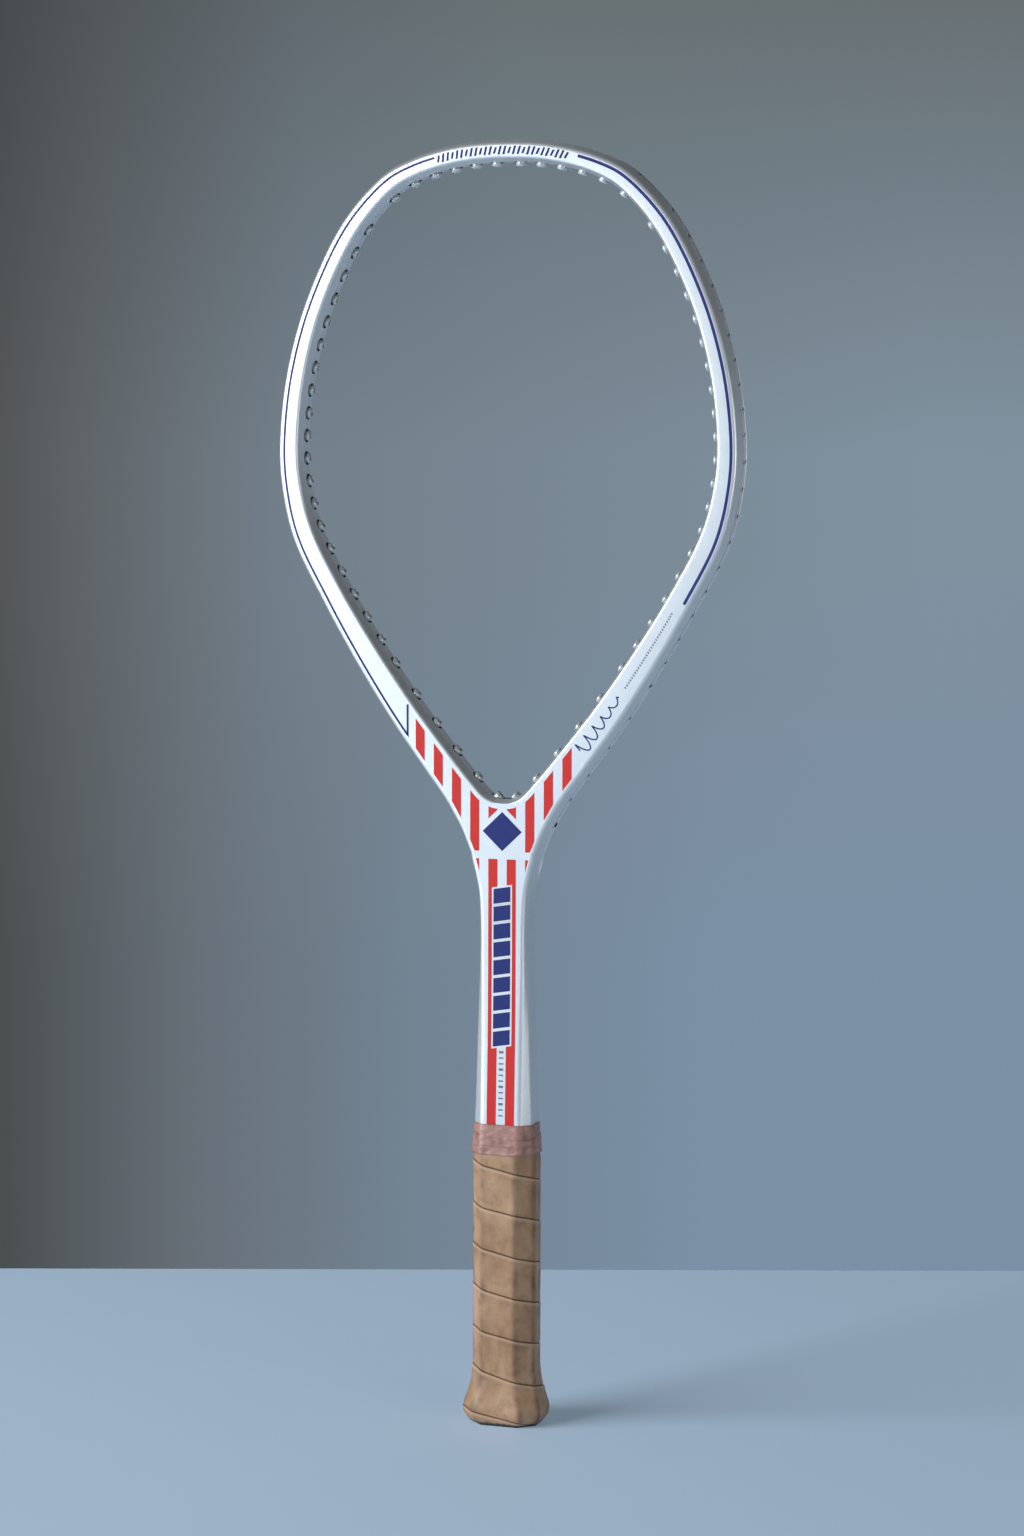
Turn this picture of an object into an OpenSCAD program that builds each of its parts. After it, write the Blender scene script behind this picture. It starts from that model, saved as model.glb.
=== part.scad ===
/* [Head] */
// Inside width of the head at its widest, across the front face
head_w = 234; // [228:1:240]
// Depth of the head from front face to back face
head_depth = 18; // [16:0.5:20]
// Thickness of the moulded laminate wall
wall = 1.5; // [1.2:0.1:1.8]
// How far the inner crest stands in from the face edge
crest_in = 2; // [1.5:0.1:2.5]
// Depth of the string groove in the outer wall
groove_depth = 1.8; // [1.2:0.1:2]

/* [String holes] */
// Diameter of the string hole in each grommet
string_hole_d = 2.4; // [2:0.1:2.8]
// Outer diameter of a grommet barrel
barrel_d = 4.6; // [4:0.1:4.8]
// Diameter of the drilled hole in the frame
drill_d = 5.2; // [5:0.1:5.4]
// How far a barrel stands out of the inner wall
barrel_proud = 2; // [1:0.1:2.5]
// Grommets on each side of the top, for the main strings
top_count = 6; // [4:1:6]
// Grommets on each side of the head, for the cross strings
side_count = 20; // [16:1:20]
// Grommets on each side of the throat
throat_count = 5; // [3:1:5]

/* [Handle] */
// Height of the top of the rubber collar
collar_top = 164; // [160:1:168]
// Height of the collar's lower edge
collar_bottom = 145.5; // [144:0.5:148]
// Half width of the leather grip, across the flats
grip_half_w = 17.6; // [16.5:0.1:18.5]
// Half depth of the leather grip, front to back
grip_half_d = 13.4; // [12.5:0.1:14]
// Thickness of the leather
leather_t = 1.6; // [1.2:0.1:2]
// Half width of the butt at its widest
butt_half_w = 22.5; // [21:0.1:24]

/* [Hidden] */
$fn = 32;

half_depth = head_depth / 2;
wide = head_w / 234;       // widening of the whole head outline
eps = 0.02;                // overlap of two bodies that join into one
clear = 0.05;              // gap between two pieces that touch
past = 1;                  // how far a cutting body runs past what it cuts
far = 200;                 // longer than any half of the handle's parts
lap = 0.05;                // how far the two legs of the tube run into each other at the middle plane
crest_half = 3.5;          // half width of the tube's inner crest
floor_step = 0.5;          // how much narrower the groove's floor is than its mouth, on each side

// Each row pairs a point of the inner outline with the point of the outer outline
// straight across the tube from it: [inner x, inner z, outer x, outer z].
throat_rows = [
    [-lap, 336.4, 22.2, 321], [9.5, 339, 26.5, 329], [18.5, 348, 33, 339.5],
    [32, 364, 44.6, 354.8], [52.6, 390, 64.6, 382], [73.8, 420, 84.8, 413]];
head_rows = [
    [92.8, 450, 102.8, 443.8], [108.6, 480, 118.9, 475], [115.8, 507, 126, 504.8],
    [116.9, 532, 126.8, 533], [112.8, 565, 122, 567.6], [102.6, 600, 111, 603.5],
    [85.2, 635, 92.5, 640.2], [66, 657.7, 70.7, 664.6], [48.7, 668, 51.5, 675.2],
    [25, 674.2, 26.2, 681.7], [0, 675.9, 0, 683.4]];
scaled_head_rows = [for (r = head_rows) [r[0] * wide, r[1], r[2] * wide, r[3]]];
rows = concat(throat_rows, scaled_head_rows);
last = len(rows) - 1;
head_top = rows[last][3];

// Outline of the shaft: half width of the front flat and its section, by height
shaft_z = [20, 142, 150, 165, 188, 209, 231, 252, 272, 286, 292, 300, 310];
flat_half = [[20, 9], [142, 9], [150, 11.1], [165, 11], [209, 11], [231, 11.4], [252, 11.9],
             [272, 11.9], [286, 12.6], [292, 13.3], [300, 15.2], [310, 18]];
depth_by_z = [[142, 8.5], [150, 11.3], [165, 11.2], [188, 10.3], [209, 9.6],
              [231, 9.2], [252, half_depth]];
bevel_by_z = [[142, 3], [150, 5.4], [165, 5.4], [188, 4.6], [209, 4], [231, 2.9],
              [252, 1.6], [286, 1.4], [310, 2]];
side_by_z = [[142, 5.4], [165, 5.9], [252, 5.6], [286, 5.2], [310, 3.9]];
lip_by_z = [[292, 0.9], [310, 2.4], [330, 3.4]];
proud_by_z = [[286, 0], [292, 1], [330, 0.3]];
groove_by_z = [[292, 0], [310, groove_depth]];

// Catmull-Rom curve through the rows, t from 0 to 1 between row i and row i + 1
function mirrored(r) = [-r[0], r[1], -r[2], r[3]];
function row_at(i) = i < 0 ? [-rows[1][0], rows[1][1], 18, 310]
                   : i > last ? mirrored(rows[2 * last - i]) : rows[i];
function spline(i, t) =
    let (a = row_at(i - 1), b = row_at(i), c = row_at(i + 1), d = row_at(i + 2))
    0.5 * (2 * b + (c - a) * t + (2 * a - 5 * b + 4 * c - d) * t * t
           + (3 * b - a - 3 * c + d) * t * t * t);
function spline_row(u) = spline(floor(u), u - floor(u));

// Unit normal on the outer side of a path whose tangent is v
function outward(v) = [v[1], -v[0]] / norm(v);
function inner_of(r) = [r[0], r[1]];
function outer_of(r) = [r[2], r[3]];

// A station is [row, inner normal, outer normal, inner crest]
function head_station(u, d = 0.01) =
    let (back = spline_row(u - d), ahead = spline_row(u + d))
    [spline_row(u), outward(inner_of(ahead - back)), outward(outer_of(ahead - back)), crest_in];
function shaft_station(z) =
    let (x = lookup(z, flat_half))
    [[-lap, z, x, z], [1, 0], outward([lookup(z + 2, flat_half) - lookup(z - 2, flat_half), 4]), 0];

steps = 3;                 // stations between two neighbouring rows of the outline
head_stations = [for (i = [0 : last * steps]) head_station(i / steps)];
frame_stations = concat([for (z = shaft_z) shaft_station(z)], head_stations);

function at(p, y) = [p[0], y, p[1]];
function both_faces(pairs) = let (n = len(pairs)) concat(
    [for (p = pairs) at(p[0], -p[1])],
    [for (i = [n - 1 : -1 : 0]) at(pairs[i][0], pairs[i][1])]);

// Section of the moulded tube, from the inner crest round the front to the groove
function tube_ring(s) =
    let (r = s[0], z = r[3], p = inner_of(r), q = outer_of(r),
         b = lookup(z, bevel_by_z), rim = b + lookup(z, proud_by_z))
    both_faces([[p - s[3] * s[1], crest_half], [p, lookup(z, depth_by_z)], [q, lookup(z, depth_by_z)],
                [q + b * s[2], lookup(z, side_by_z)], [q + rim * s[2], lookup(z, lip_by_z)],
                [q + (rim - lookup(z, groove_by_z)) * s[2], lookup(z, lip_by_z) - floor_step]]);

// Section of the foam that fills the tube, one wall thickness inside it, point for point,
// and kept half a web away from the middle plane, except where it crosses it at the top
web_top = head_top - 12;
foam_bow = [0.05, 0.08];   // bow of the foam's outer face, at its two inner rows of points
function clear_of_web(p) = p[1] > web_top ? p : [max(p[0], wall / 2), p[1]];
function foam_ring(s) =
    let (r = s[0], z = r[3], p = inner_of(r), q = outer_of(r), h = lookup(z, depth_by_z) - wall,
         b = lookup(z, bevel_by_z), groove_floor = b + lookup(z, proud_by_z) - lookup(z, groove_by_z),
         side = q + (min(groove_floor, b) - wall) * s[2], y = lookup(z, side_by_z) - 1)
    both_faces([[clear_of_web(p - (s[3] - wall - 0.1) * s[1]), crest_half - 0.3],
                [clear_of_web(p + wall * s[1]), h], [q - wall * s[2], h], [side, y],
                [side + foam_bow[0] * s[2], y * 0.7], [side + foam_bow[1] * s[2], y * 0.35]]);

// Faces that join ring j to ring j + 1 of m rings of n points, numbered from first
function side_faces(n, m, first = 0) = [for (j = [0 : m - 2]) for (i = [0 : n - 1])
    let (k = (i + 1) % n, a = first + j * n, b = a + n)
    each [[a + i, b + k, a + k], [a + i, b + i, b + k]]];
function flipped(faces) = [for (f = faces) [f[2], f[1], f[0]]];
function fan(n, apex = 2) = [for (i = [1 : n - 2]) [apex, (apex + i) % n, (apex + i + 1) % n]];

// Closed solid through a list of rings that all have the same number of points
module loft(rings) {
    n = len(rings[0]);
    m = len(rings);
    last_cap = [for (i = [n - 1 : -1 : 0]) (m - 1) * n + i];
    polyhedron(points = [for (r = rings) each r], faces = concat(fan(n), side_faces(n, m), [last_cap]));
}

// Hollow tube between two lists of rings, open at both ends
module hollow_loft(outside, inside) {
    n = len(outside[0]);
    m = len(outside);
    half = n * m;
    end_strip = [for (i = [0 : n - 1]) let (k = (i + 1) % n)
                 each [[i, k, half + k], [i, half + k, half + i]]];
    far_strip = flipped([for (f = end_strip) [for (v = f) v + half - n]]);
    polyhedron(points = [for (r = concat(outside, inside)) each r],
               faces = concat(side_faces(n, m), flipped(side_faces(n, m, half)), end_strip, far_strip));
}

module both_sides() {
    children();
    mirror([1, 0, 0]) children();
}

// Grommets. A place is [crest point, groove floor point] on one line across the tube.
function groove_floor_of(s) = let (z = s[0][3])
    outer_of(s[0]) + (lookup(z, bevel_by_z) + lookup(z, proud_by_z) - lookup(z, groove_by_z)) * s[2];
lines = [for (s = head_stations) [inner_of(s[0]) - crest_in * s[1], groove_floor_of(s)]];
function crossing(axis, value, low, high) = [for (k = [0 : len(lines) - 2])
    let (a = lines[k], b = lines[k + 1], t = (value - a[0][axis]) / (b[0][axis] - a[0][axis]))
    if (t >= 0 && t < 1 && a[0][1] > low && a[0][1] < high) a + t * (b - a)][0];
// The first hole and the pitch of each group: along X at the top and in the throat, down Z at the side
top_first = 6.6;
top_pitch = 11.5;
side_first = 640.2;
side_pitch = 12.15;
throat_first = 5.2;
throat_pitch = 11.75;
top_places = [for (i = [0 : top_count - 1]) crossing(0, top_first + top_pitch * i, 600, 700)];
side_places = [for (i = [0 : side_count - 1]) crossing(1, side_first - side_pitch * i, 380, 660)];
throat_places = [for (i = [0 : throat_count - 1]) crossing(0, throat_first + throat_pitch * i, 330, 405)];

// Stations of the outline where each grommet strip starts and ends
throat_span = [1, 13];
side_span = [14, 37];
top_span = [38, last * steps];
strip_t = 1.1;             // thickness of the strip in the groove
strip_gap = 0.9;           // from the lip's edge to the strip's edge

module along(place) {
    v = place[1] - place[0];
    translate(at(place[0], 0)) rotate([0, atan2(v[0], v[1]), 0]) children();
}
module cross_rod(place, d, inward, outward) along(place)
    translate([0, 0, -inward]) cylinder(d = d, h = norm(place[1] - place[0]) + inward + outward);
drill_reach = 6;           // how far a drill runs past the wall on each side
module drilled_holes(places) for (p = places) cross_rod(p, drill_d, drill_reach, drill_reach);

function strip_ring(s) = let (z = s[0][3], w = lookup(z, lip_by_z) - strip_gap)
    both_faces([[groove_floor_of(s), w], [groove_floor_of(s) + strip_t * s[2], w]]);
module strip(span) loft([for (k = [span[0] : span[1]]) strip_ring(head_stations[k])]);
module barrel_blanks(places) for (p = places) cross_rod(p, barrel_d, barrel_proud, strip_t * 0.7);
module string_holes(places) for (p = places) cross_rod(p, string_hole_d, drill_reach, drill_reach);
module grommet_strip(span, places) difference() {
    union() {
        strip(span);
        barrel_blanks(places);
    }
    string_holes(places);
}

// Frame
all_places = concat(top_places, side_places, throat_places);
module frame_shell() color("ghostwhite") both_sides() difference() {
    hollow_loft([for (s = frame_stations) tube_ring(s)], [for (s = frame_stations) foam_ring(s)]);
    drilled_holes(all_places);
}
module foam_core() color("khaki") both_sides() difference() {
    loft([for (s = frame_stations) foam_ring(s)]);
    drilled_holes(all_places);
}

module grommet_strip_top() color("dimgray") both_sides() grommet_strip(top_span, top_places);
module grommet_strip_right() color("dimgray") grommet_strip(side_span, side_places);
module grommet_strip_left() color("dimgray") mirror([1, 0, 0]) grommet_strip(side_span, side_places);
module throat_strip_right() color("dimgray") grommet_strip(throat_span, throat_places);
module throat_strip_left() color("dimgray") mirror([1, 0, 0]) grommet_strip(throat_span, throat_places);

// Handle. An octagon is given by its half width and half depth; the corner cuts are fixed.
cut_x = 8.4;
cut_y = 7.8;
function octagon(w, d, cx = cut_x, cy = cut_y) =
    [[w, d - cy], [w - cx, d], [cx - w, d], [-w, d - cy],
     [-w, cy - d], [cx - w, -d], [w - cx, -d], [w, cy - d]];
function octagon_rings(levels, cx = cut_x, cy = cut_y) =
    [for (l = levels) [for (p = octagon(l[1], l[2], cx, cy)) [p[0], p[1], l[0]]]];
module octagon_solid(levels, cx = cut_x, cy = cut_y) loft(octagon_rings(levels, cx, cy));
function inset(levels, t) = [for (l = levels) [l[0], l[1] - t, l[2] - t]];

adhesive_t = 0.3;
pallet_w = grip_half_w - leather_t - adhesive_t;
pallet_d = grip_half_d - leather_t - adhesive_t;
pallet_bottom = 12;
pallet_top = 142;
cap_top = 32;
cap_wall = 1.3;
leather_top = 148;
leather_bottom = 1.2;
butt_half_d = butt_half_w - 5;

// Levels are [height, half width, half depth]
leather_levels = [[leather_bottom, butt_half_w - 2, butt_half_d - 2], [4, butt_half_w, butt_half_d],
                  [7, butt_half_w - 0.2, butt_half_d - 0.3], [14, 20.2, 15.4], [22, 18.4, 13.9],
                  [cap_top, grip_half_w, grip_half_d], [leather_top, grip_half_w, grip_half_d]];
cap_levels = [[0, butt_half_w - 4, butt_half_d - 4], [leather_bottom, butt_half_w - 3.6, butt_half_d - 3.6],
              [4, butt_half_w - 2, butt_half_d - 2], [7, butt_half_w - 2.2, butt_half_d - 2.3],
              [14, 18.2, 13.4], [22, 16.4, 11.9], [cap_top, pallet_w, pallet_d]];

module staple() {
    crown = 10;
    wire = 1.2;
    for (x = [-1, 1]) translate([x * crown / 2, -pallet_d - 0.5, staple_z])
        rotate([-90, 0, 0]) cylinder(d = wire, h = 7);
    translate([-crown / 2 - wire / 2, -pallet_d - 0.7, staple_z - wire / 2]) cube([crown + wire, 0.6, wire]);
}
staple_z = 26;
module both_staples() for (turn = [0, 180]) rotate([0, 0, turn]) staple();

tack_z = 19;
tack_face = 14.5;
module tack() translate([0, tack_face, tack_z]) rotate([90, 0, 0]) {
    translate([0, 0, -0.6]) cylinder(d = 4.4, h = 0.6);
    translate([0, 0, -0.1]) cylinder(d = 1.4, h = 7);
}

// The two legs of the frame, which the pallets close round: [half width, half depth, corner cuts]
legs = [12, 8.5, 3, 3.1];
module leg_space() linear_extrude(height = 2 * far, center = true)
    polygon(octagon(legs[0] + clear, legs[1] + clear, legs[2], legs[3]));
module pallet() difference() {
    union() {
        translate([0, 0, cap_top]) linear_extrude(height = pallet_top - cap_top)
            polygon(octagon(pallet_w, pallet_d));
        translate([0, 0, pallet_bottom]) linear_extrude(height = cap_top - pallet_bottom + eps)
            polygon(octagon(pallet_w - cap_wall, pallet_d - cap_wall));
    }
    leg_space();
    both_staples();
    tack();
}
module half(side) intersection() {
    children();
    translate([-far, side < 0 ? -far : 0, -far]) cube([2 * far, far, 2 * far]);
}
module pallet_front() color("saddlebrown") half(-1) pallet();
module pallet_back() color("peru") half(1) pallet();

adhesive_w = 12;
module adhesive_strips() color("wheat") for (turn = [0, 180]) rotate([0, 0, turn])
    translate([-adhesive_w / 2, -pallet_d - adhesive_t, cap_top + 4])
        cube([adhesive_w, adhesive_t, pallet_top - cap_top - 6]);

module leather_grip() color("tan") difference() {
    octagon_solid(leather_levels);
    octagon_solid(concat([[0, butt_half_w - 4, butt_half_d - 4]],
                         [for (l = inset(cap_levels, -clear)) if (l[0] > 0) l],
                         [[cap_top + 0.5, pallet_w + adhesive_t, pallet_d + adhesive_t],
                          [leather_top + past, pallet_w + adhesive_t, pallet_d + adhesive_t]]));
    tack();
}

shaft_cut = 5.4;           // corner cut of the shaft where the collar sits
module finishing_tape() color("goldenrod") difference() {
    octagon_solid([[150.5, 16.95, 11.75], [156, 16.95, 11.75]], shaft_cut, shaft_cut);
    octagon_solid([[149, 16.52, 11.32], [165, 16.45, 11.25]], shaft_cut, shaft_cut);
}

module grip_collar() color("rosybrown") difference() {
    octagon_solid([[collar_bottom, 18.5, 14.2], [149, 18.4, 13.9], [154, 17.9, 12.9],
                   [collar_top - 1, 17.5, 12.4], [collar_top, 17.2, 12.1]], 6.4, 6.2);
    octagon_solid([[collar_bottom - past, 17.7, 13.5], [leather_top + 0.4, 17.7, 13.5]], 8.2, 7.6);
    octagon_solid([[leather_top, 17, 11.8], [157, 17, 11.8], [158, 16.6, 11.4],
                   [collar_top + past, 16.5, 11.3]], shaft_cut, shaft_cut);
}

door = [24, 15, 2];
door_gap = 0.15;
door_ledge = 2;            // width of the ledge that the door rests on
cap_floor = 3;
// Block on the butt's floor, centred on the axis
module block(size, z) translate([-size[0] / 2, -size[1] / 2, z]) cube(size);
module butt_cap() color("black") difference() {
    octagon_solid(cap_levels);
    translate([0, 0, cap_floor]) linear_extrude(height = cap_top)
        polygon(octagon(pallet_w - cap_wall + clear, pallet_d - cap_wall + clear));
    block(door + [2 * door_gap, 2 * door_gap, past], -past);
    block([door[0] - 2 * door_ledge, door[1] - 2 * door_ledge, cap_floor + past], 0);
    both_staples();
    tack();
}
clip = [1.2, 8, 2.4];      // the two snap clips on the door's inner side
module butt_door() color("dimgray") union() {
    block(door, 0);
    for (x = [-1, 1]) translate([x * (door[0] / 2 - 3), 0, 0]) block(clip, door[2] - eps);
}
module butt_staples() color("silver") both_staples();
module grip_tack() color("silver") tack();

frame_shell();
foam_core();
grommet_strip_top();
grommet_strip_left();
grommet_strip_right();
throat_strip_left();
throat_strip_right();
pallet_front();
pallet_back();
adhesive_strips();
leather_grip();
finishing_tape();
grip_collar();
butt_cap();
butt_door();
butt_staples();
grip_tack();
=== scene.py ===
import functools
import math

import bmesh
import bpy
import numpy as np
from mathutils import Matrix, Vector, noise


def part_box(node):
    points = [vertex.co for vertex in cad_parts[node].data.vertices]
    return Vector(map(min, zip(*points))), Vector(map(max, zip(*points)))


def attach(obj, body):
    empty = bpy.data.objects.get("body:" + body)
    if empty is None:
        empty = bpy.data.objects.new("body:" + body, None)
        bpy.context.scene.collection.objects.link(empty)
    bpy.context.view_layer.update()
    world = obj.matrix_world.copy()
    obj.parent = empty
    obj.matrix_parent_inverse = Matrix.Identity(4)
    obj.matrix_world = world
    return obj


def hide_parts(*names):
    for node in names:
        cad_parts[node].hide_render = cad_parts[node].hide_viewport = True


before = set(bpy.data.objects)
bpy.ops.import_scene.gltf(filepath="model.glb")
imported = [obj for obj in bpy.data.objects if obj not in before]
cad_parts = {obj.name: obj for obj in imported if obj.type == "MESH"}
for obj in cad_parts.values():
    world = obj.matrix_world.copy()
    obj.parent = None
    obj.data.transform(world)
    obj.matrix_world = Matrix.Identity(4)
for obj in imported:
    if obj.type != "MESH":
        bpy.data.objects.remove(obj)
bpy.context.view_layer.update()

# Shapes are written in millimetres in the frame of the CAD part, and turned into metres
# when a mesh is made. +X is to the right of the front face, the front face looks to -Y.
MM = 0.001
ON_PLANE = 1e-6  # a point this near the plane X = 0 lies on it
BODY = "root"


# ------------------------------ meshes

def in_mm(node):
    """Lowest and highest corner of a CAD node, in millimetres."""
    low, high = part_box(node)
    return np.array(low) / MM, np.array(high) / MM


def new_mesh(name, points, faces, values=None):
    """Object from points in millimetres, with doubled points merged and normals outward."""
    mesh = bpy.data.meshes.new(name)
    mesh.from_pydata((np.asarray(points, float) * MM).tolist(), [], [list(map(int, f)) for f in faces])
    for key, numbers in (values or {}).items():
        mesh.attributes.new(key, "FLOAT", "POINT").data.foreach_set("value", numbers)
    tidy = bmesh.new()
    tidy.from_mesh(mesh)
    bmesh.ops.remove_doubles(tidy, verts=tidy.verts, dist=1e-6)
    bmesh.ops.dissolve_degenerate(tidy, edges=tidy.edges, dist=1e-7)
    bmesh.ops.recalc_face_normals(tidy, faces=tidy.faces)
    tidy.to_mesh(mesh)
    tidy.free()
    obj = bpy.data.objects.new(name, mesh)
    bpy.context.scene.collection.objects.link(obj)
    return obj


def combined(obj, other, operation):
    """Applies one boolean of the object with another closed one, which is used up."""
    modifier = obj.modifiers.new(operation.lower(), "BOOLEAN")
    modifier.operation = operation
    modifier.object = other
    modifier.solver = "MANIFOLD"
    modifier.material_mode = "TRANSFER"
    bpy.context.view_layer.update()
    graph = bpy.context.evaluated_depsgraph_get()
    obj.data = bpy.data.meshes.new_from_object(obj.evaluated_get(graph))
    obj.modifiers.clear()
    bpy.data.objects.remove(other)


def shaded(obj, material, sharp, weighted=True):
    """Smooth shading that keeps edges over sharp degrees, and the material if there is one."""
    mesh = obj.data
    if material:
        mesh.materials.clear()
        mesh.materials.append(material)
    mesh.polygons.foreach_set("use_smooth", [True] * len(mesh.polygons))
    mesh.set_sharp_from_angle(angle=math.radians(sharp))
    if weighted:
        obj.modifiers.new("even normals", "WEIGHTED_NORMAL").keep_sharp = True
    return obj


def placed(obj, slot, *nodes):
    """Rides the piece on the body and hides the CAD nodes it stands for. The slot is not used."""
    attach(obj, BODY)
    if nodes:
        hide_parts(*nodes)


def tube_faces(rows, size, first=0):
    """Quads that join each of several rings to the next, and each ring's end to its start."""
    a = first + np.arange(rows - 1)[:, None] * size + np.arange(size)[None]
    b = first + np.arange(rows - 1)[:, None] * size + (np.arange(size)[None] + 1) % size
    return np.stack([a, b, b + size, a + size], -1).reshape(-1, 4).tolist()


def loft(name, rings):
    """Closed solid through rings of points."""
    rings = np.asarray(rings, float)
    rows, size = rings.shape[:2]
    ends = [list(range(size)), list(range((rows - 1) * size, rows * size))]
    return new_mesh(name, rings.reshape(-1, 3), tube_faces(rows, size) + ends)


def mirrored_loft(name, rings):
    """Solid through rings and their mirror images, joined where both lie on the plane X = 0."""
    rings = np.asarray(rings, float)
    rows, size = rings.shape[:2]
    points = rings.reshape(-1, 3)
    start = list(range(size))
    faces = [f for f in tube_faces(rows, size) + [start] if np.abs(points[f, 0]).max() > ON_PLANE]
    other = [[v + len(points) for v in reversed(f)] for f in faces]
    return new_mesh(name, np.concatenate([points, points * [-1, 1, 1]]), faces + other)


def rounded(corners, radii, pieces=3):
    """Ring with each corner of a polygon replaced by a short curve of about that radius."""
    corners = np.asarray(corners, float)
    t = np.linspace(0, 1, pieces + 1)[:, None]
    ring = []
    for k, corner in enumerate(corners):
        legs = [corners[k - 1] - corner, corners[(k + 1) % len(corners)] - corner]
        ends = []
        for leg in legs:
            length = max(np.linalg.norm(leg), 1e-9)
            ends.append(corner + leg * min(radii[k], 0.45 * length) / length)
        ring.extend((1 - t) ** 2 * ends[0] + 2 * t * (1 - t) * corner + t * t * ends[1])
    return np.array(ring)


def lathe(place, profile, sides=28):
    """Points and faces of a turned solid. The profile is [distance along the line, radius]."""
    start, axis = place[0], unit(place[1] - place[0])
    centre = np.array([start[0], 0, start[1]])
    along = np.array([axis[0], 0, axis[1]])
    across = np.array([axis[1], 0, -axis[0]])
    turn = np.linspace(0, 2 * math.pi, sides, endpoint=False)[:, None]
    circle = np.cos(turn) * across + np.sin(turn) * np.array([0, 1.0, 0])
    points = np.concatenate([centre + s * along + r * circle for s, r in profile])
    rows = len(profile)
    ends = [list(range(sides))[::-1], list(range((rows - 1) * sides, rows * sides))]
    return points, [face[::-1] for face in tube_faces(rows, sides)] + ends


def stacked(solids):
    """Joins several (points, faces) into one."""
    points, faces = [], []
    for own_points, own_faces in solids:
        first = sum(map(len, points))
        points.append(own_points)
        faces += [[v + first for v in face] for face in own_faces]
    return np.concatenate(points), faces


def lathes(name, places, profile_of):
    """One object that holds a turned solid at each place."""
    solids = (lathe(p, profile_of(np.linalg.norm(p[1] - p[0]))) for p in places)
    return new_mesh(name, *stacked(solids))


def unit(v):
    return v / np.linalg.norm(v)


# ------------------------------ outline of the frame

# [inner x, inner z, outer x, outer z]: a point of the inner edge of the front face, and the
# point of the outer edge straight across the tube from it, up from the throat to the tip.
ROWS = np.array([
    [0, 336.4, 22.2, 321], [9.5, 339, 26.5, 329], [18.5, 348, 33, 339.5],
    [32, 364, 44.6, 354.8], [52.6, 390, 64.6, 382], [73.8, 420, 84.8, 413],
    [92.8, 450, 102.8, 443.8], [108.6, 480, 118.9, 475], [115.8, 507, 126, 504.8],
    [116.9, 532, 126.8, 533], [112.8, 565, 122, 567.6], [102.6, 600, 111, 603.5],
    [85.2, 635, 92.5, 640.2], [66, 657.7, 70.7, 664.6], [48.7, 668, 51.5, 675.2],
    [25, 674.2, 26.2, 681.7], [0, 675.9, 0, 683.4]])
BEFORE_FIRST = np.array([-9.5, 339, 18, 310])
LAST = len(ROWS) - 1
FLIP = np.array([-1, 1, -1, 1])

# Section of the tube by height, as in the CAD part
FLAT_HALF = [[20, 9], [142, 9], [150, 11.1], [165, 11], [209, 11], [231, 11.4], [252, 11.9],
             [272, 11.9], [286, 12.6], [292, 13.3], [300, 15.2], [310, 18]]
DEPTH = [[142, 8.5], [150, 11.3], [165, 11.2], [188, 10.3], [209, 9.6], [231, 9.2], [252, 9]]
BEVEL = [[142, 3], [150, 5.4], [165, 5.4], [188, 4.6], [209, 4], [231, 2.9], [252, 1.6],
         [286, 1.4], [310, 2]]
SIDE = [[142, 5.4], [165, 5.9], [252, 5.6], [286, 5.2], [310, 3.9]]
LIP = [[292, 0.9], [310, 2.4], [330, 3.4]]
PROUD = [[286, 0], [292, 1], [330, 0.3]]
GROOVE = [[292, 0], [310, 1.8]]
CREST_IN = 2.0
CREST_HALF = 3.5
FLOOR_STEP = 0.5
WALL = 1.5
WEB_TOP = 671.4
LEG_BOTTOM = in_mm("frame_shell")[0][2]
HEAD_STEPS = 12  # stations between two rows of the outline
SMOOTHING = 5.0  # half length over which a section table is averaged


def table(z, pairs):
    """Value at height z, linear between the table's rows, with its kinks smoothed."""
    heights, numbers = zip(*pairs)
    return float(np.interp(z + SMOOTHING * np.linspace(-1, 1, 9), heights, numbers).mean())


def row_at(i):
    if i < 0:
        return BEFORE_FIRST
    return ROWS[i] if i <= LAST else ROWS[2 * LAST - i] * FLIP


def outline(u):
    """Catmull-Rom curve through the rows."""
    i = min(int(math.floor(u)), LAST)
    t = u - i
    a, b, c, d = (row_at(i + k) for k in (-1, 0, 1, 2))
    return 0.5 * (2 * b + (c - a) * t + (2 * a - 5 * b + 4 * c - d) * t * t
                  + (3 * b - a - 3 * c + d) * t ** 3)


def outward(v):
    return unit(np.array([v[1], -v[0]]))


class Station:
    """One cross-section: inner and outer edge of the face, their normals and the crest."""

    def __init__(self, inner, outer, inner_normal, outer_normal, crest):
        self.inner, self.outer = np.array(inner, float), np.array(outer, float)
        self.inner_normal, self.outer_normal, self.crest = inner_normal, outer_normal, crest
        z = self.outer[1]
        self.depth, self.bevel, self.side = table(z, DEPTH), table(z, BEVEL), table(z, SIDE)
        self.lip, self.rim = table(z, LIP), self.bevel + table(z, PROUD)
        self.floor = self.rim - table(z, GROOVE)

    def beyond(self, distance):
        return self.outer + distance * self.outer_normal

    def line(self):
        """From the inner crest to the groove's floor: where a grommet may go."""
        return np.array([self.inner - self.crest * self.inner_normal, self.beyond(self.floor)])


def head_station(u, step=0.01):
    row, change = outline(u), outline(u + step) - outline(u - step)
    return Station(row[:2], row[2:], outward(change[:2]), outward(change[2:]), CREST_IN)


def shaft_station(z):
    x = table(z, FLAT_HALF)
    change = np.array([table(z + 2, FLAT_HALF) - table(z - 2, FLAT_HALF), 4])
    return Station([0, z], [x, z], np.array([1.0, 0]), outward(change), 0.0)


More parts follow.
